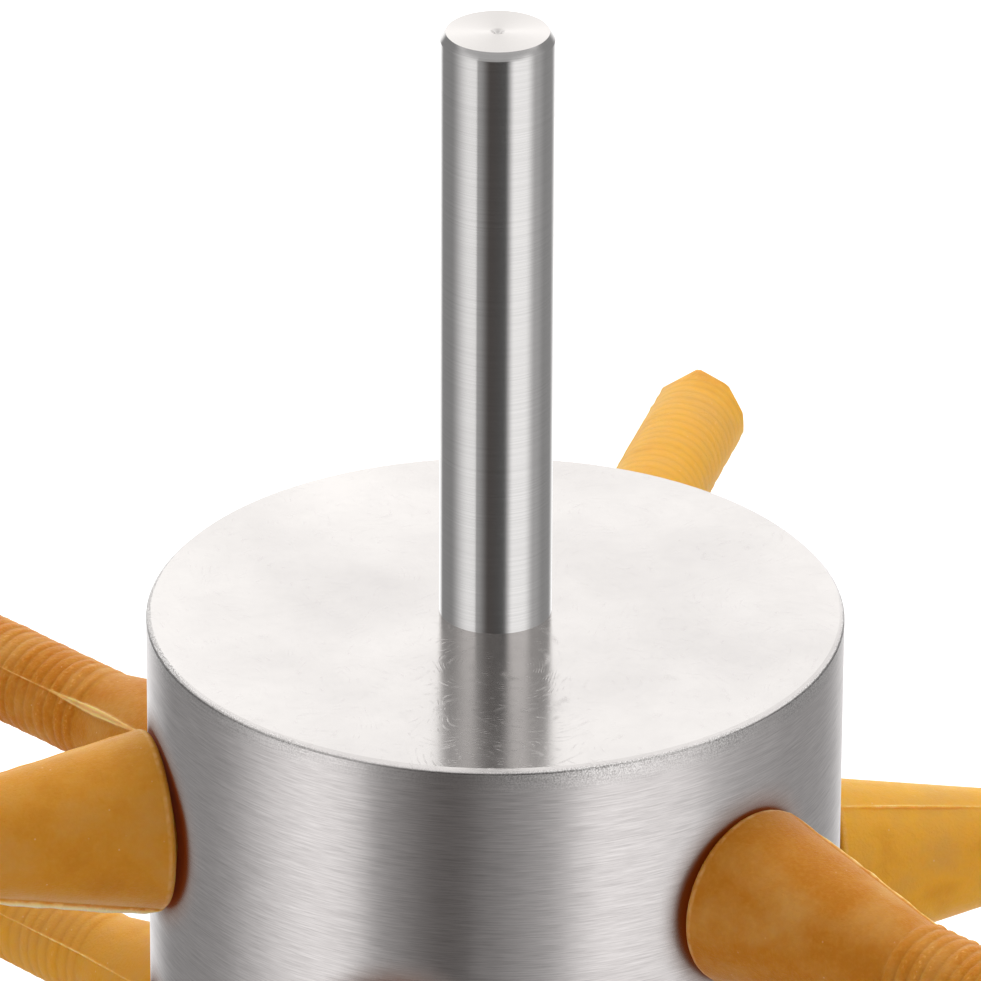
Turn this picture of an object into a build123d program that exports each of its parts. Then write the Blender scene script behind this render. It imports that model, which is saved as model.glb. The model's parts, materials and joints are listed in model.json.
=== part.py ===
from build123d import *
import math
import os

# Drum
drum_diameter = 62.0
drum_length = 98.0
drum_wall = 2.0
rim_chamfer = 0.45
plate_thickness = 3.0

# Shank, with a shoulder that stands on the plate and a spigot that goes through it
shank_diameter = 10.0
shank_length = 55.8
shank_chamfer_width = 0.45
shank_chamfer_length = 0.7
shank_shoulder = 1.0
centre_drill_diameter = 1.2
centre_drill_angle = 118.0
spigot_clearance = 0.2
spigot_chamfer = 0.9
spigot_run_out = 2.0

# Fasteners on the spigot, each given by the width of metal round its hole
thread_clearance = 0.05
flat_washer_width = 3.8
flat_washer_thickness = 1.6
spring_washer_width = 3.2
spring_washer_thickness = 2.0
spring_washer_split = 0.8
spring_washer_slant = 20.0
nut_wall = 2.5
nut_height = 6.5
nut_chamfer_angle = 30.0

# Finger pattern: staggered rows round the drum
finger_rows = 6
fingers_per_row = 3
row_pitch = 12.85
first_row_angle = 75.3

# One rubber finger, from its inner head to its tip
head_diameter = 15.2
head_thickness = 4.0
head_edge = 1.2
neck_diameter = 10.9
shoulder_diameter = 16.3
shoulder_edge = 0.9
cone_length = 20.0
stem_diameter = 9.1
rib_pitch = 1.3
rib_height = 0.15
finger_reach = 50.0
tip_plain = 1.5
tip_rise = 2.0
tip_corner = 0.9
nub_diameter = 2.6
nub_height = 0.4

# How loosely a finger sits in the wall
neck_clearance = 0.1
seat_gap = 0.1

# Sizes that follow from the ones above
drum_radius = drum_diameter / 2
bore_radius = drum_radius - drum_wall
plate_bottom = drum_length - plate_thickness
spigot_diameter = shank_diameter - 2 * shank_shoulder
spigot_hole_diameter = spigot_diameter + 2 * spigot_clearance
flat_washer_bottom = plate_bottom - flat_washer_thickness
spring_washer_bottom = flat_washer_bottom - spring_washer_thickness
nut_bottom = spring_washer_bottom - nut_height
spigot_bottom = nut_bottom - spigot_run_out
shoulder_x = drum_radius + seat_gap
flange_x = math.sqrt(bore_radius**2 - (head_diameter / 2) ** 2) - seat_gap
first_row_height = (drum_length + (finger_rows - 1) * row_pitch) / 2


def ring(outer_diameter, inner_diameter, bottom, height):
    """A plain ring standing on the level given as its bottom."""
    outline = Circle(outer_diameter / 2) - Circle(inner_diameter / 2)
    return Pos(0, 0, bottom) * extrude(outline, height)


def turned(outline, axis):
    """A solid of revolution from a closed half section."""
    return revolve(make_face(outline), axis)


def finger_places():
    """Turn about the drum's axis and height of every finger, row by row from the top."""
    turn_in_row = 360 / fingers_per_row
    places = []
    for row in range(finger_rows):
        stagger = turn_in_row / 2 * (row % 2)
        for place in range(fingers_per_row):
            turn = first_row_angle + stagger + turn_in_row * place
            places.append(Location((0, 0, first_row_height - row * row_pitch), (0, 0, turn)))
    return places


def make_drum_tube():
    """The drum's wall, open at the bottom, with one round hole for each finger."""
    tube = ring(drum_diameter, 2 * bore_radius, 0, drum_length)
    outer_rims = tube.edges().filter_by(GeomType.CIRCLE).group_by(SortBy.RADIUS)[-1]
    tube = chamfer(outer_rims, rim_chamfer)
    drill_radius = neck_diameter / 2 + neck_clearance
    drill = Plane.YZ * extrude(Circle(drill_radius), drum_diameter)
    return tube - [place * drill for place in finger_places()]


def make_top_plate():
    """The round plate that closes the drum's top, with a hole for the spigot."""
    return ring(2 * bore_radius, spigot_hole_diameter, plate_bottom, plate_thickness)


def make_shank():
    """The turned shank: chamfered, centre-drilled end above the plate, spigot below it."""
    shank_radius = shank_diameter / 2
    spigot_radius = spigot_diameter / 2
    shank_top = drum_length + shank_length
    drill_radius = centre_drill_diameter / 2
    drill_depth = drill_radius / math.tan(math.radians(centre_drill_angle / 2))
    outline = Polyline(
        (0, 0, spigot_bottom),
        (spigot_radius - spigot_chamfer, 0, spigot_bottom),
        (spigot_radius, 0, spigot_bottom + spigot_chamfer),
        (spigot_radius, 0, drum_length),
        (shank_radius, 0, drum_length),
        (shank_radius, 0, shank_top - shank_chamfer_length),
        (shank_radius - shank_chamfer_width, 0, shank_top),
        (drill_radius, 0, shank_top),
        (0, 0, shank_top - drill_depth),
        close=True,
    )
    return turned(outline, Axis.Z)


def make_flat_washer():
    """The plain washer under the plate."""
    return ring(
        spigot_hole_diameter + 2 * flat_washer_width,
        spigot_hole_diameter,
        flat_washer_bottom,
        flat_washer_thickness,
    )


def make_spring_washer():
    """The split washer, pressed flat, with a slanted split on one side."""
    hole_diameter = spigot_diameter + 2 * thread_clearance
    outer_diameter = hole_diameter + 2 * spring_washer_width
    washer = ring(outer_diameter, hole_diameter, spring_washer_bottom, spring_washer_thickness)
    split = Box(outer_diameter, spring_washer_split, 3 * spring_washer_thickness)
    middle = spring_washer_bottom + spring_washer_thickness / 2
    return washer - Pos(outer_diameter / 2, 0, middle) * Rot(spring_washer_slant, 0, 0) * split


def make_shank_nut():
    """The hex nut, with its corners chamfered at both ends."""
    hole_radius = spigot_diameter / 2 + thread_clearance
    flat_radius = spigot_diameter / 2 + nut_wall
    corner_radius = flat_radius / math.cos(math.radians(30))
    corner_drop = (corner_radius - flat_radius) * math.tan(math.radians(nut_chamfer_angle))
    hexagon = RegularPolygon(flat_radius, 6, major_radius=False) - Circle(hole_radius)
    blank = Pos(0, 0, nut_bottom) * extrude(hexagon, nut_height)
    chamfered = Polyline(
        (0, 0, nut_bottom),
        (flat_radius, 0, nut_bottom),
        (corner_radius, 0, nut_bottom + corner_drop),
        (corner_radius, 0, nut_bottom + nut_height - corner_drop),
        (flat_radius, 0, nut_bottom + nut_height),
        (0, 0, nut_bottom + nut_height),
        close=True,
    )
    return blank & turned(chamfered, Axis.Z)


def finger_ribs(start_x, end_x):
    """Low ridges side by side along the stem, as a zigzag that falls to the root between them."""
    crest = stem_diameter / 2
    root = crest - rib_height
    count = max(1, round((end_x - start_x) / rib_pitch))
    step = (end_x - start_x) / count
    points = [(start_x, root)]
    for rib in range(count):
        left = start_x + rib * step
        points += [(left + step / 2, crest), (left + step, root)]
    return Polyline(*points)


def make_finger():
    """One moulded finger along X: head, groove, shoulder, cone, ribbed stem and domed tip."""
    head_radius = head_diameter / 2
    neck_radius = neck_diameter / 2
    root = stem_diameter / 2 - rib_height
    nub_radius = nub_diameter / 2
    cone_end = shoulder_x + cone_length
    tip_x = shoulder_x + finger_reach
    nub_x = tip_x - nub_height
    dome_x = nub_x - tip_rise
    plain_x = dome_x - tip_plain
    inner_x = flange_x - head_thickness

    base = FilletPolyline(
        (inner_x, 0),
        (inner_x, head_radius),
        (flange_x, head_radius),
        (flange_x, neck_radius),
        (shoulder_x, neck_radius),
        (shoulder_x, shoulder_diameter / 2),
        (cone_end, root),
        radius=(head_edge, 0, 0, 0, shoulder_edge),
    )
    ribs = finger_ribs(cone_end, plain_x)
    tip = FilletPolyline(
        (plain_x, root),
        (dome_x, root),
        (nub_x, nub_radius),
        (tip_x, nub_radius),
        (tip_x, 0),
        radius=(tip_corner, 0, nub_height / 2),
    )
    axis_line = Line((tip_x, 0), (inner_x, 0))
    return turned(Curve() + [base, ribs, tip, axis_line], Axis.X)


def make_parts():
    """Every piece by its name, standing on the drum's bottom rim with the shank up."""
    parts = {
        "drum_tube": make_drum_tube(),
        "top_plate": make_top_plate(),
        "shank": make_shank(),
        "flat_washer": make_flat_washer(),
        "spring_washer": make_spring_washer(),
        "shank_nut": make_shank_nut(),
    }
    finger = make_finger()
    for number, place in enumerate(finger_places(), start=1):
        parts[f"finger_{number:02d}"] = place * finger
    return parts


os.makedirs("parts", exist_ok=True)
for name, solid in make_parts().items():
    export_step(solid, f"parts/{name}.step")
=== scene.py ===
"""Looks of the drill plucker drum: turned steel and ribbed amber rubber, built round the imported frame."""
import json
import math
import random

import bpy
from mathutils import Euler, Matrix, Vector, noise
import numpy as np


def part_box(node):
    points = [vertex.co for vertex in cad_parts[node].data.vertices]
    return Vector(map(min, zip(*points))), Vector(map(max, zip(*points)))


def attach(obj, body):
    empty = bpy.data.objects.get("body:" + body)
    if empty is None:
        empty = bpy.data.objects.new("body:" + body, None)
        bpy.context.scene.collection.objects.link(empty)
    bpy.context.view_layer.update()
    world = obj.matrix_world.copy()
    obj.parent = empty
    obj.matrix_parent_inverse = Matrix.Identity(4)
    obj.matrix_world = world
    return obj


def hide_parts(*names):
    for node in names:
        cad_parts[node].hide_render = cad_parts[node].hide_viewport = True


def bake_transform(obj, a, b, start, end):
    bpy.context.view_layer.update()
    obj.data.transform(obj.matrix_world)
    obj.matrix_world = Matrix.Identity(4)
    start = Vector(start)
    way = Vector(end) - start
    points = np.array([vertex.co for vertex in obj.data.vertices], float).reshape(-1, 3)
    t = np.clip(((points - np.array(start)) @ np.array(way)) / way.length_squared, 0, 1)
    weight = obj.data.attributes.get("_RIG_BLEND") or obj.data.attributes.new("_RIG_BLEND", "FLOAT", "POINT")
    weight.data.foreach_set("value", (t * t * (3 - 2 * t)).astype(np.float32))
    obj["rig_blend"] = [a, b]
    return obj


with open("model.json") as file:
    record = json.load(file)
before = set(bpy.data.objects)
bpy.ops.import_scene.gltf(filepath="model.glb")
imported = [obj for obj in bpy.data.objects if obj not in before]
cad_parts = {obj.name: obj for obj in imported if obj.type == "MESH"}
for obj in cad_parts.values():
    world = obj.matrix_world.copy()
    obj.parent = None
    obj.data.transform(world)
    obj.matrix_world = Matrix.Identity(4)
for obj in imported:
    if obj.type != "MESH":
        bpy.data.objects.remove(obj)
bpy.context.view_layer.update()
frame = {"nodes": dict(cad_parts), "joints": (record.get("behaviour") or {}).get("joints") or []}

MM = 0.001
DRUM_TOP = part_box("drum_tube")[1].z
DRUM_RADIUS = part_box("drum_tube")[1].x
SHANK_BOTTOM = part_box("shank")[0].z
SHANK_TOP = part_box("shank")[1].z
SHANK_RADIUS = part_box("shank")[1].x

# The photograph's camera, aimed from the front at the drum's top
FRAME_PIXELS = 981
CAMERA_DISTANCE = 0.9
CAMERA_ELEVATION = math.radians(26.79)
CAMERA_PITCH = math.radians(26.124)
CAMERA_YAW = math.radians(0.0337)
CAMERA_ROLL = math.radians(0.23)
FOCAL_PIXELS = 10141.6
SENSOR_WIDTH = 36.0

# One finger in millimetres, measured outwards from the drum's axis as in the part
HEAD_RADIUS = 7.6
HEAD_EDGE = 1.2
HEAD_INNER = 23.886
FLANGE = 27.886
NECK_RADIUS = 5.45
SHOULDER = 31.1
SHOULDER_RADIUS = 8.15
CONE_END = 51.1
STEM_RADIUS = 4.55
RIB_HEIGHT = 0.15
RIB_COUNT = 20
RIB_END = 77.2
DOME_START = 78.7
DOME_EDGE = 0.9
NUB_START = 80.7
NUB_RADIUS = 1.3
NUB_EDGE = 0.2
TIP = 81.1
# What the modelled finger adds: rounds in the groove, a shoulder edge crisper than the solid's with a pale
# line along it, the length over which a tight shoulder follows the drum's wall, and an uneven skin
GROOVE_FILLET = 0.35
SHOULDER_EDGE = 0.6
SHOULDER_LINE = 0.3
# How pale that line is, on the scale of the mould line's flash
SHOULDER_LINE_PALENESS = 0.9
SEAT_FADE = 6.0
LUMP = 0.05
RIB_WAVER = 0.2
RIB_UNEVEN = 0.5
# Mesh of a finger: radii of the rings on its flat ends, and rows along the cone and along each rib
HEAD_RINGS = (3.0, 5.5)
TIP_RING = 0.5
CONE_ROWS = 16
ROWS_PER_RIB = 8
# A finger bends from this far inside its shoulder to this far beyond its tip
BEND_INSIDE = 5.0
BEND_BEYOND = 10.0
# Each finger's stretch of the rubber's pattern lies this far from the one before
GRAIN_STEP = 40.0
# How far the painted shade and the dullness in the rubber's creases reach
CREASE_REACH = 2.5

# Mould line of each finger: a thin fin on two opposite sides, as mesh columns with their turn,
# their share of the fin's height and their share of its height where it has split open
FIN_COLUMNS = (
    (-0.06, 0.0, 0.0),
    (-0.024, 0.1, 0.3),
    (-0.009, 0.7, 1.0),
    (0.0, 1.0, 0.15),
    (0.009, 0.7, 1.0),
    (0.024, 0.1, 0.3),
    (0.06, 0.0, 0.0),
)
FIN_EDGE = FIN_COLUMNS[-1][0]
FIN_HEIGHT = 0.13
FIN_FADE_IN = 1.5
FIN_FADE_OUT = 2.5
FILM_EDGE = 0.022
SPLIT_BLEND = 0.15
PLAIN_CREST = 0.5
COLUMNS_BETWEEN_FINS = 24
SEED = 7

# What sets the fingers in the photograph apart: turn of the mould line in degrees, strength of the ribs,
# paleness of the rubber, which is partly its own tone and partly painted light for how brightly each finger
# is lit, millimetres that the soft shoulder sits above the middle of its hole, and how closely the shoulder
# is pulled down to the round wall
SEEN_FINGERS = {
    1: {"roll": 33, "ribs": 0.08, "pale": 0.9},
    2: {"roll": 300, "ribs": 0.8, "pale": 0.45},
    3: {"roll": 54, "ribs": 1.0, "pale": 0.1},
    4: {"roll": 38, "ribs": 0.85, "pale": 0.05},
    6: {"roll": 112, "ribs": 0.6, "pale": 1.0, "rise": -0.4, "seat": 1.0},
    10: {"roll": 30, "ribs": 0.5, "pale": 0.75},
}
PLAIN_SEAT = {"rise": 0.0, "seat": 0.0}
# Torn flash on a mould line in millimetres: middle, half length, height and half width of the split
FLAPS = {
    2: (8.0, 24.0, 0.6, 0.0),
    3: (11.0, 12.0, 0.16, 0.0),
    4: (17.0, 7.5, 0.25, 0.28),
    6: (6.0, 8.0, 0.22, 0.0),
    10: (21.0, 7.0, 0.15, 0.0),
}
# Flats that a knife left on the tip of a finger: turn and tilt in degrees, distance from the dome's foot.
# The knife reached this far down the ribs
TRIMS = {1: ((55, 15, 3.7), (116, 30, 3.1), (152, 25, 3.1), (176, 17, 3.65))}
TRIM_REACH = 4.0

# Shank in millimetres: small rounds on its edges, a centre-drilled end and a threaded spigot
SPIGOT_RADIUS = 4.0
SPIGOT_CHAMFER = 0.9
SPIGOT_RING = 2.0
THREAD_PITCH = 1.25
THREAD_DEPTH = 0.6
THREAD_LENGTH = 3.2
THREAD_RUN_OUT = 0.4
THREAD_FLANK = 2.4
CHAMFER_WIDTH = 0.45
CHAMFER_LENGTH = 0.7
EDGE_ROUND = 0.05
DRILL_RADIUS = 0.6
DRILL_DEPTH = 0.35
SHANK_COLUMNS = 128
SHARP_ANGLE = math.radians(50)

# Rim of the drum: its bevel in millimetres, the share of the bevel that wear has rounded to a lip,
# and how far the lip's face leans up
RIM_BEVEL = 0.45
RIM_LIP = 0.35
LIP_LEAN = 0.75
# Depth in millimetres below the top where the rim's speckled wear starts, and where it is full
WEAR_START = 2.5
WEAR_FULL = 0.5
# The rim's dark band reaches further up its bevel, in patches, on its left: from right to left in
# millimetres, where that starts and where it is full
LEFT_BAND_START = -10.0
LEFT_BAND_FULL = -30.0
# Curved scratches on the drum's top
SWIRL_SIZES = (40.0, 65.0)
SWIRL_LINES = 75.0
# Painted shade on the steel round each finger, warm as a painted reflection of the rubber, in millimetres:
# its reach, the height over which it comes in above the floor's own shade, and the depths under the wall's
# outside that it fades between
PAINTED_SHADE_REACH = 5.0
PAINTED_SHADE_RISE = 2.0
PAINTED_SHADE_DEEPEST = 0.8
PAINTED_SHADE_FULL = 0.5

# Brightness of the studio's screens by the turn from the camera's side, with the right positive
STUDIO = (
    (-180, 1.36),
    (-156, 1.36),
    (-138, 0.34),
    (-105, 0.34),
    (-55, 1.2),
    (-43, 1.2),
    (-39, 0.49),
    (-13, 0.105),
    (16, 0.105),
    (36, 1.335),
    (59, 1.335),
    (85, 0.57),
    (113, 0.366),
    (138, 0.366),
    (168, 1.36),
    (180, 1.36),
)
# The front finger lends the dark side a brown tint on the left of the camera
TINTS = {-13: (1.02, 0.92, 0.88)}
# The ceiling over them is grey on the camera's side, and the white background reaches up to it at the back.
# Its edge and the change between its two tones are soft
CEILING = 0.6
BACK_CEILING = 1.2
CEILING_EDGE = (0.44, 0.58)
BACK_EDGE = (-0.2, 0.3)
# Low down the screens lean to the left, by this turn straight below
LEAN = math.radians(46)
LEAN_START = -0.485
# Soft lamps: place, target and size in metres, power in watts
LAMPS = {
    "key": ((0.1, 0.7, 1.1), (0, 0, 0.08), 0.7, 6.0),
    "left_fill": ((-0.7, -0.4, 0.06), (0, 0, 0.07), 0.5, 0.5),
    "right_fill": ((0.65, -0.45, 0.04), (0, 0, 0.07), 0.5, 0.9),
}
# Floor: half its width and its depth below the rim in metres, its grey, and what makes it white to the camera
FLOOR_HALF = 6.0
FLOOR_DEPTH = 0.0002
FLOOR_GREY = 0.82
FLOOR_GLOW = 0.45


def clamped(value):
    """A value held between 0 and 1."""
    return min(1.0, max(0.0, value))


def arc(centre_x, centre_r, radius, start, end, steps):
    """Points of a profile along a round stretch, with angles in degrees from the outward axis."""
    points = []
    for step in range(steps + 1):
        angle = math.radians(start + (end - start) * step / steps)
        points.append((centre_x + radius * math.cos(angle), centre_r + radius * math.sin(angle)))
    return points


def line(start, end, steps):
    """Evenly spaced points of a straight stretch of a profile, without its first point."""
    points = []
    for step in range(1, steps + 1):
        share = step / steps
        points.append((start[0] + (end[0] - start[0]) * share, start[1] + (end[1] - start[1]) * share))
    return points


def rings_to_mesh(name, rings, poles, material):
    """A closed, smooth mesh from rings of points, with a pole point at each end."""
    count = len(rings[0])
    points = [point for ring in rings for point in ring]
    first_pole = len(points)
    points += poles
    faces = []
    for low in range(0, first_pole - count, count):
        high = low + count
        for column in range(count):
            after = (column + 1) % count
            faces.append((low + column, high + column, high + after, low + after))
    last = first_pole - count
    for column in range(count):
        after = (column + 1) % count
        faces.append((first_pole, column, after))
        faces.append((first_pole + 1, last + after, last + column))
    mesh = bpy.data.meshes.new(name)
    mesh.from_pydata(points, [], faces)
    mesh.shade_smooth()
    mesh.materials.append(material)
    piece = bpy.data.objects.new(name, mesh)
    bpy.context.scene.collection.objects.link(piece)
    return piece


def finger_profile():
    """Half section of a finger from the middle of its inner head to the middle of its tip."""
    root = STEM_RADIUS - RIB_HEIGHT
    fillet = GROOVE_FILLET
    points = [(HEAD_INNER, radius) for radius in HEAD_RINGS]
    points += arc(HEAD_INNER + HEAD_EDGE, HEAD_RADIUS - HEAD_EDGE, HEAD_EDGE, 180, 90, 6)
    points += arc(FLANGE - fillet, HEAD_RADIUS - fillet, fillet, 90, 0, 3)
    points += arc(FLANGE + fillet, NECK_RADIUS + fillet, fillet, 180, 270, 3)
    points += arc(SHOULDER - fillet, NECK_RADIUS + fillet, fillet, 270, 360, 3)
    slope = math.atan2(SHOULDER_RADIUS - root, CONE_END - SHOULDER)
    edge_r = SHOULDER_RADIUS - SHOULDER_EDGE * (math.tan(slope) + 1 / math.cos(slope))
    points += arc(SHOULDER + SHOULDER_EDGE, edge_r, SHOULDER_EDGE, 180, 90 - math.degrees(slope), 6)
    line_end = SHOULDER + SHOULDER_EDGE + SHOULDER_LINE
    points += line(points[-1], (line_end, SHOULDER_RADIUS - (line_end - SHOULDER) * math.tan(slope)), 2)
    points += line(points[-1], (CONE_END, root), CONE_ROWS)
    points += line(points[-1], (RIB_END, root), RIB_COUNT * ROWS_PER_RIB)
    fall = math.atan2(root - NUB_RADIUS, NUB_START - DOME_START)
    dome_x = DOME_START - DOME_EDGE * math.tan(fall / 2)
    points += line(points[-1], (dome_x, root), 4)
    points += arc(dome_x, root - DOME_EDGE, DOME_EDGE, 90, 90 - math.degrees(fall), 5)[1:]
    points += line(points[-1], (NUB_START, NUB_RADIUS), 5)
    points += arc(TIP - NUB_EDGE, NUB_RADIUS - NUB_EDGE, NUB_EDGE, 90, 0, 3)
    points += [(TIP, TIP_RING)]
    return points


def rib_rise(out, turn, seed):
    """How far a bead of the ribbed stem stands up, with beads that waver round the stem."""
    if not CONE_END < out < RIB_END:
        return 0.0
    waver = noise.noise(Vector((math.cos(turn), math.sin(turn), out * 0.35 + seed)))
    phase = (out - CONE_END) / (RIB_END - CONE_END) * RIB_COUNT + RIB_WAVER * waver
    uneven = noise.noise(Vector((math.cos(turn) + seed, math.sin(turn), out * 0.8)))
    strength = 0.9 + RIB_UNEVEN * uneven
    return RIB_HEIGHT * strength * math.sin(math.pi * (phase % 1.0)) ** 0.8


def mould_fin(number, out, side):
    """Height of the mould line's fin at a distance out from the shoulder, and how far it is split open."""
    reach = TIP - SHOULDER
    fade = clamped(out / FIN_FADE_IN) * clamped((reach - out) / FIN_FADE_OUT)
    ragged = 0.75 + 0.6 * noise.noise(Vector((out * 0.9, number * 3.1, side * 5.0)))
    height = FIN_HEIGHT * ragged
    split = 0.0
    if side == 0 and number in FLAPS:
        middle, half_length, flap_height, widest_split = FLAPS[number]
        share = max(0.0, 1.0 - abs(out - middle) / half_length)
        height += flap_height * share**0.7 * (0.55 + 0.5 * ragged)
        split = widest_split * share
    return fade * height, fade * split


def trimmed(number, point):
    """A point of a finger, as outwards, across and up, brought back to the flats cut on its tip."""
    for turn, tilt, reach in TRIMS.get(number, ()):
        turn, tilt = math.radians(turn), math.radians(tilt)
        flat = Vector((math.sin(tilt), math.cos(tilt) * math.cos(turn), math.cos(tilt) * math.sin(turn)))
        beyond = (point - Vector((DOME_START, 0, 0))).dot(flat) - reach
        if point.x > RIB_END - TRIM_REACH and beyond > 0:
            point = point - flat * beyond
    return point


def finger_columns(roll):
    """The mesh columns round a finger: turn, side of the mould line and the fin column, if it is one."""
    columns = []
    for side in (0, 1):
        line_turn = roll + side * math.pi
        for fin_column in FIN_COLUMNS:
            columns.append((line_turn + fin_column[0], side, fin_column))
        span = math.pi - 2 * FIN_EDGE
        for step in range(1, COLUMNS_BETWEEN_FINS):
            turn = line_turn + FIN_EDGE + span * step / COLUMNS_BETWEEN_FINS
            columns.append((turn, side, (0.0, 0.0, 0.0)))
    return columns


def seat_drop(out, across):
    """How far a shoulder that is pulled tight follows the drum's round wall inwards."""
    drum = DRUM_RADIUS / MM
    start = clamped(1 - (SHOULDER - out) / GROOVE_FILLET)
    fade = clamped(1 - (out - SHOULDER) / SEAT_FADE)
    return start * fade * (drum - math.sqrt(drum**2 - across**2))


def finger_point(number, out, radius, look, column):
    """One point of a finger's skin, as outwards, across and up, with its flash, rib crest and torn film."""
    ribs = look["ribs"]
    turn, side, (offset, share, split_share) = column
    height, split = mould_fin(number, out - SHOULDER, side)
    opened = min(1.0, split / SPLIT_BLEND)
    fin = height * (share + (split_share - share) * opened)
    rib = ribs * rib_rise(out, turn, number * 1.7)
    wide = radius + rib + fin
    if out > SHOULDER + 1:
        wide += LUMP * noise.noise(Vector((math.cos(turn) * 2, math.sin(turn) * 2, out * 0.12 + number)))
    if offset != 0:
        turn += math.copysign(split / wide, offset)
    across = wide * math.cos(turn)
    seated = out - look["seat"] * seat_drop(out, across)
    point = trimmed(number, Vector((seated, across, wide * math.sin(turn))))
    if out > SHOULDER - 0.5 * SHOULDER_LINE:
        point.z += look["rise"]
    film = opened * max(0.0, 1 - abs(offset) / FILM_EDGE) if share else 0.0
    crest = rib / (RIB_HEIGHT * ribs) if CONE_END < out < RIB_END else PLAIN_CREST
    edge = 1 - abs(out - SHOULDER - SHOULDER_EDGE) / SHOULDER_LINE
    return point, max(fin / FIN_HEIGHT, SHOULDER_LINE_PALENESS * edge), crest, film


def finger_axis(place):
    """Point on the drum's axis level with a finger's joint, and the finger's direction."""
    return Vector((0, 0, place.z)), Vector((place.x, place.y, 0)).normalized()


def finger_mesh(number, place, look, material):
    """A ribbed rubber finger at its joint's place, with its mould line and uneven surface."""
    foot, outwards = finger_axis(place)
    sideways = Vector((-outwards.y, outwards.x, 0))
    up = Vector((0, 0, 1))
    columns = finger_columns(math.radians(look["roll"]))
    grain, skin = [], []

    def sited(point):
        grain.append((point.x, point.y, point.z + GRAIN_STEP * number))
        return foot + (outwards * point.x + sideways * point.y + up * point.z) * MM

    rings = []
    for out, radius in finger_profile():
        ring = []
        for column in columns:
            point, *point_skin = finger_point(number, out, radius, look, column)
            ring.append(sited(point))
            skin.append(point_skin)
        rings.append(ring)
    poles = [sited(Vector((HEAD_INNER, 0, 0))), sited(Vector((TIP, 0, look["rise"])))]
    finger = rings_to_mesh(f"rubber_finger_{number:02d}", rings, poles, material)
    attributes = finger.data.attributes
    grain_values = [value for point in grain for value in point]
    attributes.new("grain", "FLOAT_VECTOR", "POINT").data.foreach_set("vector", grain_values)
    skin += [(0.0, PLAIN_CREST, 0.0)] * len(poles)
    for name, values in zip(("flash", "crest", "film"), zip(*skin)):
        attributes.new(name, "FLOAT", "POINT").data.foreach_set("value", values)
    attributes.new("pale", "FLOAT", "POINT").data.foreach_set("value", [look["pale"]] * len(grain))
    return finger


def shank_profile():
    """Half section of the shank as height above its lower end and radius, in millimetres."""
    top = (SHANK_TOP - SHANK_BOTTOM) / MM
    foot = (DRUM_TOP - SHANK_BOTTOM) / MM
    radius = SHANK_RADIUS / MM
    face_radius = radius - CHAMFER_WIDTH
    bevel = math.degrees(math.atan2(CHAMFER_WIDTH, CHAMFER_LENGTH))
    low_edge = top - CHAMFER_LENGTH
    points = [(0.0, SPIGOT_RING), (0.0, SPIGOT_RADIUS - SPIGOT_CHAMFER)]
    points += line(points[-1], (SPIGOT_CHAMFER, SPIGOT_RADIUS), 10)
    points += line(points[-1], (THREAD_LENGTH, SPIGOT_RADIUS), 30)
    points += [(foot, SPIGOT_RADIUS), (foot, radius - EDGE_ROUND)]
    points += [(foot, radius), (foot + EDGE_ROUND, radius)]
    points += [(low_edge - 2 * EDGE_ROUND, radius)]
    points += arc(low_edge - EDGE_ROUND, radius - EDGE_ROUND, EDGE_ROUND, 90, 90 - bevel, 2)
    points += arc(top - EDGE_ROUND, face_radius - EDGE_ROUND, EDGE_ROUND, 90 - bevel, 0, 3)
    points += [(top, face_radius - 2 * EDGE_ROUND), (top, DRILL_RADIUS + 2 * EDGE_ROUND)]
    points += [(top, DRILL_RADIUS + EDGE_ROUND), (top - EDGE_ROUND / 2, DRILL_RADIUS)]
    points += [(top - DRILL_DEPTH / 2, DRILL_RADIUS / 2), (top - 0.9 * DRILL_DEPTH, DRILL_RADIUS / 4)]
    return points


def thread_drop(height, turn):
    """Depth of the spigot's thread below its crest, running out where the plain part starts."""
    phase = (height / THREAD_PITCH - turn / (2 * math.pi)) % 1.0
    run_out = clamped((THREAD_LENGTH - height) / THREAD_RUN_OUT)
    return THREAD_DEPTH * run_out * min(1.0, THREAD_FLANK * abs(phase - 0.5))


def make_shank(material):
    """The turned shank with softened edges and the spigot's thread, in place of the plain solid."""
    rings = []
    for height, radius in shank_profile():
        ring = []
        for column in range(SHANK_COLUMNS):
            turn = -2 * math.pi * column / SHANK_COLUMNS
            wide = radius - (thread_drop(height, turn) if height <= THREAD_LENGTH else 0.0)
            ring.append(Vector((wide * math.cos(turn), wide * math.sin(turn), height)) * MM)
        rings.append([point + Vector((0, 0, SHANK_BOTTOM)) for point in ring])
    poles = [Vector((0, 0, SHANK_BOTTOM)), Vector((0, 0, SHANK_TOP - DRILL_DEPTH * MM))]
    shank = rings_to_mesh("turned_shank", rings, poles, material)
    shank.data.set_sharp_from_angle(angle=SHARP_ANGLE)
    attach(shank, "drum")
    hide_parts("shank")


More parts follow.
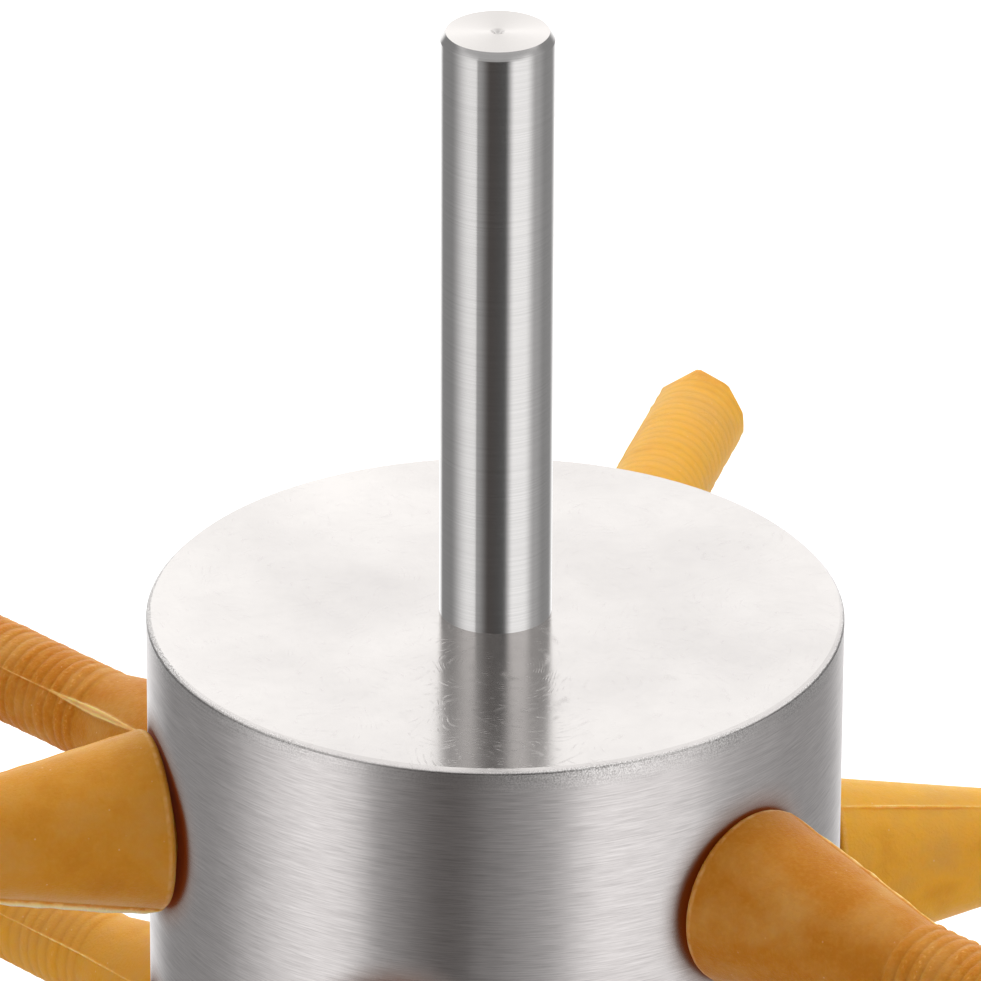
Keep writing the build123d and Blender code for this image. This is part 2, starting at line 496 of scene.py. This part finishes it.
class Nodes:
    """Short calls for building a material's or a world's node tree."""

    def __init__(self, tree):
        self.tree = tree
        tree.nodes.clear()

    def add(self, kind, inputs=None, **settings):
        node = self.tree.nodes.new(kind)
        for name, value in settings.items():
            setattr(node, name, value)
        for name, value in (inputs or {}).items():
            self.set(node.inputs[name], value)
        return node

    def set(self, socket, value):
        if isinstance(value, bpy.types.NodeSocket):
            self.tree.links.new(value, socket)
        else:
            socket.default_value = value

    def math(self, operation, first, second=0.0):
        return self.add("ShaderNodeMath", {0: first, 1: second}, operation=operation).outputs[0]

    def times(self, first, second):
        return self.math("MULTIPLY", first, second)

    def ramp(self, value, low, high, to_low=0.0, to_high=1.0):
        inputs = {0: value, 1: low, 2: high, 3: to_low, 4: to_high}
        return self.add("ShaderNodeMapRange", inputs, clamp=True).outputs[0]

    def inverse(self, value):
        return self.ramp(value, 0.0, 1.0, 1.0, 0.0)

    def mix(self, share, first, second):
        return self.add("ShaderNodeMix", {0: share, 6: first, 7: second}, data_type="RGBA").outputs[2]

    def between(self, share, first, second):
        return self.add("ShaderNodeMix", {0: share, 2: first, 3: second}).outputs[0]

    def lean(self, share, first, second):
        inputs = {0: share, 4: first, 5: second}
        return self.unit(self.add("ShaderNodeMix", inputs, data_type="VECTOR").outputs[1])

    def unit(self, vector):
        return self.add("ShaderNodeVectorMath", {0: vector}, operation="NORMALIZE").outputs[0]

    def stretched(self, vector, stretch):
        inputs = {0: vector, 1: stretch}
        return self.add("ShaderNodeVectorMath", inputs, operation="MULTIPLY").outputs[0]

    def parts(self, vector):
        return self.add("ShaderNodeSeparateXYZ", {0: vector}).outputs

    def radius(self, vector):
        parts = self.parts(vector)
        across = self.add("ShaderNodeCombineXYZ", {0: parts["X"], 1: parts["Y"]}).outputs[0]
        return self.add("ShaderNodeVectorMath", {0: across}, operation="LENGTH").outputs["Value"]

    def noise(self, vector, scale, detail=3.0, rough=0.55):
        inputs = {"Vector": vector, "Scale": scale, "Detail": detail, "Roughness": rough}
        return self.add("ShaderNodeTexNoise", inputs).outputs[0]

    def bump(self, height, distance, strength=1.0, normal=None):
        inputs = {"Height": height, "Distance": distance, "Strength": strength}
        if normal is not None:
            inputs["Normal"] = normal
        return self.add("ShaderNodeBump", inputs).outputs[0]

    def shade(self, reach, samples):
        inputs = {"Distance": reach}
        return self.add("ShaderNodeAmbientOcclusion", inputs, samples=samples).outputs["AO"]

    def attribute(self, name, output="Fac"):
        return self.add("ShaderNodeAttribute", attribute_name=name).outputs[output]

    def place(self):
        return self.add("ShaderNodeTexCoord").outputs["Object"]

    def normal(self):
        return self.add("ShaderNodeNewGeometry").outputs["Normal"]

    def round_tangent(self):
        return self.add("ShaderNodeTangent", direction_type="RADIAL", axis="Z").outputs[0]


def new_material(name):
    """An empty material and the calls that fill it."""
    material = bpy.data.materials.new(name)
    material.use_nodes = True
    return material, Nodes(material.node_tree)


def finish_material(nodes, inputs):
    """Ends a material with its one shader."""
    shader = nodes.add("ShaderNodeBsdfPrincipled", inputs)
    output = nodes.add("ShaderNodeOutputMaterial")
    nodes.set(output.inputs["Surface"], shader.outputs[0])


def srgb(red, green, blue):
    """A colour read off a screen, as the linear values that shaders take."""
    linear = []
    for value in (red, green, blue):
        share = value / 255
        linear.append(share / 12.92 if share <= 0.04045 else ((share + 0.055) / 1.055) ** 2.4)
    return (*linear, 1.0)


def rubber_colour(nodes, grain, shade):
    """Cloudy amber, paler on flash, torn film and dust, with a painted highlight on the rib crests, painted
    shade in the rib valleys and painted shade in creases.
    """
    flash = nodes.attribute("flash")
    crest = nodes.attribute("crest")
    pale = nodes.attribute("pale")
    film = nodes.attribute("film")
    cloud = nodes.noise(grain, 0.16, 4.0)
    fleck = nodes.noise(grain, 2.2, 3.0)
    # Each finger's paleness is partly the rubber's own tone and partly painted light for how brightly that
    # finger is lit
    colour = nodes.mix(pale, srgb(192, 120, 31), srgb(236, 178, 66))
    colour = nodes.mix(nodes.ramp(cloud, 0.3, 0.5, 0.3, 0.0), colour, srgb(178, 100, 16))
    colour = nodes.mix(nodes.ramp(cloud, 0.48, 0.7, 0.0, 0.6), colour, srgb(214, 164, 92))
    colour = nodes.mix(nodes.ramp(fleck, 0.45, 0.75, 0.0, 0.25), colour, srgb(224, 168, 74))
    # Darker in the rib valleys: painted shade
    colour = nodes.mix(nodes.ramp(crest, 0.0, 0.8, 0.15, 0.0), colour, srgb(150, 86, 24))
    # Pale patches on the rib crests: painted highlight
    crest_highlight = nodes.ramp(nodes.noise(grain, 2.5, 3.0), 0.56, 0.68, 0.0, 0.4)
    crest_highlight = nodes.times(crest_highlight, nodes.ramp(crest, 0.8, 1.0))
    colour = nodes.mix(crest_highlight, colour, srgb(240, 190, 112))
    broken = nodes.ramp(nodes.noise(grain, 1.0, 2.0), 0.42, 0.6, 0.25, 1.0)
    edge = nodes.times(nodes.ramp(flash, 0.15, 1.2, 0.0, 0.8), broken)
    colour = nodes.mix(edge, colour, srgb(240, 196, 136))
    colour = nodes.mix(nodes.ramp(flash, 1.5, 4.0), colour, srgb(252, 228, 194))
    colour = nodes.mix(nodes.ramp(film, 0.1, 0.6), colour, srgb(240, 196, 124))
    specks = nodes.add("ShaderNodeTexVoronoi", {"Vector": grain, "Scale": 0.6}).outputs["Distance"]
    dust = nodes.ramp(specks, 0.03, 0.07, 0.4, 0.0)
    colour = nodes.mix(dust, colour, srgb(236, 206, 160))
    # Painted shade in creases and where a finger meets the drum, weaker on the paler fingers
    painted_crease_shade = nodes.ramp(shade, 0.3, 0.6, 0.6, 0.0)
    painted_crease_shade = nodes.times(painted_crease_shade, nodes.ramp(pale, 0.0, 1.0, 1.0, 0.2))
    return nodes.mix(painted_crease_shade, colour, srgb(130, 62, 12))


def rubber_material():
    """Amber natural rubber with a satin skin that is dull in its creases."""
    material, nodes = new_material("amber_rubber")
    grain = nodes.attribute("grain", "Vector")
    shade = nodes.shade(CREASE_REACH * MM, 4)
    skin = nodes.noise(grain, 4.0, 4.0, 0.6)
    normal = nodes.bump(skin, 0.12 * MM, 0.7)
    normal = nodes.bump(nodes.noise(grain, 0.7, 2.0), 0.25 * MM, 0.35, normal)
    satin = nodes.ramp(skin, 0.3, 0.75, 0.4, 0.55)
    dull = nodes.ramp(shade, 0.5, 0.85, 1.0, 0.0)
    finish_material(nodes, {
        "Base Color": rubber_colour(nodes, grain, shade),
        "Roughness": nodes.math("MAXIMUM", satin, dull),
        "Normal": normal,
        "Subsurface Weight": 1.0,
        "Subsurface Radius": (1.0, 0.5, 0.18),
        "Subsurface Scale": 1.4 * MM,
        "IOR": 1.3,
        "Specular IOR Level": 0.4,
        "Specular Tint": srgb(255, 214, 160),
    })
    return material


def swirl_scratches(nodes, place):
    """Short curved scratches from hand finishing: broken contour lines of a smooth noise."""
    families = []
    for size in SWIRL_SIZES:
        flow = nodes.times(nodes.noise(place, size, 1.0, 0.5), SWIRL_LINES)
        distance = nodes.math("ABSOLUTE", nodes.math("SUBTRACT", nodes.math("FRACT", flow), 0.5))
        broken = nodes.ramp(nodes.noise(place, 14 * size, 3.0), 0.48, 0.66)
        families.append(nodes.times(nodes.ramp(distance, 0.0, 0.2, 1.0, 0.0), broken))
    return nodes.math("MAXIMUM", *families)


def rim_wear(nodes, place, on_bevel, up_bevel, level):
    """Shares of the dark burr on the rim's bevel and of the speckled wear on the wall under it."""
    parts = nodes.parts(place)
    rim = nodes.ramp(parts["Z"], DRUM_TOP - WEAR_START * MM, DRUM_TOP - WEAR_FULL * MM)
    patchy = nodes.ramp(nodes.noise(place, 70.0, 2.0), 0.42, 0.6, 0.3, 1.0)
    left = nodes.ramp(parts["X"], LEFT_BAND_FULL * MM, LEFT_BAND_START * MM, 0.7, 0.0)
    edge = nodes.math("SUBTRACT", up_bevel, nodes.times(patchy, left))
    burr = nodes.times(on_bevel, nodes.ramp(edge, 0.1, 0.3, 0.6, 0.0))
    under_lip = nodes.ramp(edge, RIM_LIP, 2 * RIM_LIP, 0.6, 0.0)
    worn = nodes.times(nodes.times(rim, patchy), nodes.inverse(level))
    return burr, nodes.times(worn, under_lip)


def painted_finger_shade(nodes, place, flat):
    """Share and colour of the painted shade on the outside of the wall round each finger, warm as a painted
    reflection of the rubber.
    """
    shade = nodes.shade(PAINTED_SHADE_REACH * MM, 8)
    height = nodes.parts(place)["Z"]
    outside = nodes.ramp(nodes.radius(place), DRUM_RADIUS - PAINTED_SHADE_DEEPEST * MM, DRUM_RADIUS - PAINTED_SHADE_FULL * MM)
    above_floor = nodes.ramp(height, PAINTED_SHADE_REACH * MM, (PAINTED_SHADE_REACH + PAINTED_SHADE_RISE) * MM)
    on_wall = nodes.times(nodes.times(outside, above_floor), nodes.inverse(flat))
    painted_shade = nodes.times(nodes.ramp(shade, 0.55, 0.85, 1.0, 0.0), on_wall)
    return painted_shade, nodes.mix(nodes.ramp(shade, 0.3, 0.6), srgb(160, 66, 4), srgb(118, 72, 36))


def drum_material():
    """Satin steel: fine brushing round the side, swirl scratches on the flat top, a worn rim and painted
    shade round each finger.
    """
    material, nodes = new_material("drum_steel")
    place = nodes.place()
    facing = nodes.parts(nodes.normal())["Z"]
    level = nodes.ramp(nodes.math("ABSOLUTE", facing), 0.92, 0.98)
    on_bevel = nodes.times(nodes.ramp(facing, 0.3, 0.5), nodes.ramp(facing, 0.85, 0.95, 1.0, 0.0))
    up_bevel = nodes.ramp(nodes.parts(place)["Z"], DRUM_TOP - RIM_BEVEL * MM, DRUM_TOP)
    flat = nodes.between(on_bevel, level, up_bevel)
    burr, worn = rim_wear(nodes, place, on_bevel, up_bevel, level)
    painted_shade, painted_shade_colour = painted_finger_shade(nodes, place, flat)
    scratch = swirl_scratches(nodes, place)
    streak = nodes.noise(nodes.stretched(place, (330, 330, 8500)), 1.0, 4.0, 0.65)
    band = nodes.noise(nodes.stretched(place, (60, 60, 1500)), 1.0, 3.0)
    mottle = nodes.noise(place, 42.0, 6.0, 0.6)
    grit = nodes.noise(place, 8000.0, 2.0, 0.6)

    side_tone = nodes.mix(nodes.ramp(streak, 0.3, 0.7), srgb(194, 189, 188), srgb(228, 223, 222))
    top_tone = nodes.mix(nodes.ramp(mottle, 0.32, 0.7), srgb(203, 199, 197), srgb(223, 219, 216))
    specks = nodes.mix(nodes.ramp(grit, 0.36, 0.64), srgb(112, 108, 106), srgb(255, 253, 251))
    colour = nodes.mix(flat, side_tone, top_tone)
    colour = nodes.mix(burr, colour, srgb(96, 92, 90))
    colour = nodes.mix(worn, colour, specks)
    # Painted shade round each finger, warm as a painted reflection of the rubber; the steel there is also
    # made dull and less metallic
    colour = nodes.mix(painted_shade, colour, painted_shade_colour)

    side_rough = nodes.ramp(band, 0.3, 0.7, 0.31, 0.35)
    top_rough = nodes.math("ADD", nodes.ramp(mottle, 0.35, 0.7, 0.14, 0.17), nodes.times(scratch, 0.17))
    rough = nodes.between(painted_shade, nodes.between(flat, side_rough, top_rough), 1.0)

    outwards = nodes.unit(nodes.stretched(place, (1, 1, 0)))
    rounded = nodes.lean(nodes.ramp(up_bevel, 0.0, RIM_LIP, 0.0, LIP_LEAN), outwards, (0, 0, 1))
    normal = nodes.lean(on_bevel, nodes.normal(), rounded)
    brushed = nodes.between(flat, streak, nodes.times(scratch, 0.5))
    normal = nodes.bump(brushed, 0.005 * MM, 1.0, normal)
    grains = nodes.times(nodes.math("SUBTRACT", grit, 0.5), worn)
    normal = nodes.bump(grains, 0.025 * MM, 0.7, normal)
    finish_material(nodes, {
        "Base Color": colour,
        "Metallic": nodes.ramp(painted_shade, 0.0, 0.8, 1.0, 0.0),
        "Roughness": rough,
        "Normal": normal,
        "Specular IOR Level": 0.1,
        "Anisotropic": nodes.ramp(flat, 0.0, 1.0, 0.95, 0.0),
        "Anisotropic Rotation": 0.25,
        "Tangent": nodes.round_tangent(),
    })
    return material


def shank_material():
    """Turned steel: tight rings round the shank and on its faced end."""
    material, nodes = new_material("shank_steel")
    place = nodes.place()
    flat = nodes.ramp(nodes.parts(nodes.normal())["Z"], 0.6, 0.95)
    streak = nodes.noise(nodes.stretched(place, (400, 400, 9000)), 1.0, 3.0, 0.6)
    turning = nodes.times(nodes.radius(place), 5000.0)
    rings = nodes.noise(nodes.add("ShaderNodeCombineXYZ", {0: turning}).outputs[0], 1.0, 3.0, 0.6)
    tone = nodes.noise(nodes.stretched(place, (60, 60, 9000)), 1.0, 3.0, 0.6)
    side_tone = nodes.mix(nodes.ramp(tone, 0.3, 0.7), srgb(196, 194, 193), srgb(207, 205, 204))
    turned = nodes.between(flat, streak, nodes.times(rings, 3.0))
    finish_material(nodes, {
        "Base Color": nodes.mix(flat, side_tone, srgb(224, 220, 217)),
        "Metallic": 1.0,
        "Roughness": nodes.between(flat, nodes.ramp(streak, 0.3, 0.7, 0.11, 0.14), 0.35),
        "Normal": nodes.bump(turned, 0.003 * MM),
        "Anisotropic": nodes.ramp(flat, 0.0, 1.0, 0.95, 0.85),
        "Anisotropic Rotation": 0.25,
        "Tangent": nodes.round_tangent(),
    })
    return material


def plated_material():
    """Zinc-plated fasteners: pale satin metal with a faint cloudy film."""
    material, nodes = new_material("plated_steel")
    place = nodes.place()
    film = nodes.noise(place, 260.0, 4.0)
    finish_material(nodes, {
        "Base Color": nodes.mix(nodes.ramp(film, 0.35, 0.7), srgb(186, 188, 186), srgb(210, 208, 198)),
        "Metallic": 1.0,
        "Roughness": nodes.ramp(film, 0.3, 0.7, 0.28, 0.42),
        "Normal": nodes.bump(nodes.noise(place, 1500.0, 3.0), 0.03 * MM, 0.4),
    })
    return material


def floor_material():
    """Pale floor that shows as white to the camera and keeps the soft shadow."""
    material, nodes = new_material("pale_floor")
    seen = nodes.add("ShaderNodeLightPath").outputs["Is Camera Ray"]
    diffuse = nodes.add("ShaderNodeBsdfDiffuse", {"Color": (FLOOR_GREY, FLOOR_GREY, FLOOR_GREY, 1.0)})
    glow = nodes.add("ShaderNodeEmission", {"Strength": nodes.times(seen, FLOOR_GLOW)})
    both = nodes.add("ShaderNodeAddShader", {0: diffuse.outputs[0], 1: glow.outputs[0]})
    output = nodes.add("ShaderNodeOutputMaterial")
    nodes.set(output.inputs["Surface"], both.outputs[0])
    return material


def set_screens(color_ramp):
    """Gives a colour ramp the brightness of the studio's screens, all the way round."""
    color_ramp.interpolation = "EASE"
    elements = color_ramp.elements
    while len(elements) > 1:
        elements.remove(elements[-1])
    for index, (degrees, level) in enumerate(STUDIO):
        position = degrees / 360 + 0.5
        element = elements[0] if index == 0 else elements.new(position)
        element.position = position
        tint = TINTS.get(degrees, (1.0, 1.0, 1.0))
        element.color = (*[level * share for share in tint], 1.0)


def studio_world():
    """Bright and grey screens under a ceiling, dark on the camera's side, and plain white to the camera."""
    world = bpy.data.worlds.new("studio")
    bpy.context.scene.world = world
    world.use_nodes = True
    nodes = Nodes(world.node_tree)
    parts = nodes.parts(nodes.add("ShaderNodeTexCoord").outputs["Generated"])
    back = nodes.times(parts["Y"], -1.0)
    below = nodes.ramp(parts["Z"], -1.0, LEAN_START, LEAN, 0.0)
    turn = nodes.math("ADD", nodes.math("ARCTAN2", parts["X"], back), below)
    ramp = nodes.add("ShaderNodeValToRGB", {0: nodes.ramp(turn, -math.pi, math.pi)})
    set_screens(ramp.color_ramp)
    ceiling = nodes.ramp(parts["Y"], *BACK_EDGE, CEILING, BACK_CEILING)
    screens = nodes.mix(nodes.ramp(parts["Z"], *CEILING_EDGE), ramp.outputs[0], ceiling)
    seen = nodes.add("ShaderNodeLightPath").outputs["Is Camera Ray"]
    colour = nodes.mix(seen, screens, (1.0, 1.0, 1.0, 1.0))
    background = nodes.add("ShaderNodeBackground", {"Color": colour, "Strength": 1.0})
    output = nodes.add("ShaderNodeOutputWorld")
    nodes.set(output.inputs["Surface"], background.outputs[0])


def area_light(name, place, target, size, power):
    """A square soft lamp aimed at a point, which reflections don't show."""
    lamp = bpy.data.lights.new(name, "AREA")
    lamp.size = size
    lamp.energy = power
    holder = bpy.data.objects.new(name, lamp)
    holder.location = place
    holder.rotation_euler = (Vector(target) - Vector(place)).to_track_quat("-Z", "Y").to_euler()
    holder.visible_glossy = False
    bpy.context.scene.collection.objects.link(holder)


def photo_camera():
    """Camera at the photograph's place, angles and focal length."""
    data = bpy.data.cameras.new("photo_camera")
    data.sensor_width = SENSOR_WIDTH
    data.lens = FOCAL_PIXELS * SENSOR_WIDTH / FRAME_PIXELS
    camera = bpy.data.objects.new("photo_camera", data)
    back = CAMERA_DISTANCE * math.cos(CAMERA_ELEVATION)
    height = DRUM_TOP + CAMERA_DISTANCE * math.sin(CAMERA_ELEVATION)
    camera.location = (0, -back, height)
    aimed = Euler((math.pi / 2 - CAMERA_PITCH, 0, CAMERA_YAW)).to_matrix()
    camera.rotation_euler = (aimed @ Matrix.Rotation(CAMERA_ROLL, 3, "Z")).to_euler()
    bpy.context.scene.collection.objects.link(camera)
    bpy.context.scene.camera = camera


def make_floor():
    """A wide pale floor under the drum's rim."""
    corners = ((-1, -1), (1, -1), (1, 1), (-1, 1))
    mesh = bpy.data.meshes.new("floor")
    mesh.from_pydata([(FLOOR_HALF * x, FLOOR_HALF * y, 0) for x, y in corners], [], [(0, 1, 2, 3)])
    mesh.materials.append(floor_material())
    floor = bpy.data.objects.new("floor", mesh)
    floor.location.z = -FLOOR_DEPTH
    floor.visible_glossy = False
    bpy.context.scene.collection.objects.link(floor)


def dress(node, material):
    """Gives a CAD node its finish."""
    mesh = frame["nodes"][node].data
    mesh.materials.clear()
    mesh.materials.append(material)


def make_fingers():
    """A modelled rubber finger in place of each CAD finger, bending between drum and finger body."""
    rubber = rubber_material()
    chance = random.Random(SEED)
    for joint in frame["joints"]:
        body = joint["child"]
        number = int(body.split("_")[1])
        place = Vector(joint["pos_m"])
        unseen = {
            "roll": chance.uniform(0, 180),
            "ribs": chance.uniform(0.4, 0.9),
            "pale": chance.random(),
        }
        look = {**PLAIN_SEAT, **SEEN_FINGERS.get(number, unseen)}
        finger = finger_mesh(number, place, look, rubber)
        foot, outwards = finger_axis(place)
        start = foot + outwards * (SHOULDER - BEND_INSIDE) * MM
        end = foot + outwards * (TIP + BEND_BEYOND) * MM
        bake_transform(finger, "drum", body, start=start, end=end)
        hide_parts(body)
        finger.visible_glossy = False


bpy.context.scene.view_settings.view_transform = "Standard"
photo_camera()
studio_world()
for name, settings in LAMPS.items():
    area_light(name, *settings)
make_floor()
steel = drum_material()
for node in ("drum_tube", "top_plate"):
    dress(node, steel)
    frame["nodes"][node].visible_glossy = False
make_shank(shank_material())
plated = plated_material()
for node in ("flat_washer", "spring_washer", "shank_nut"):
    dress(node, plated)
make_fingers()
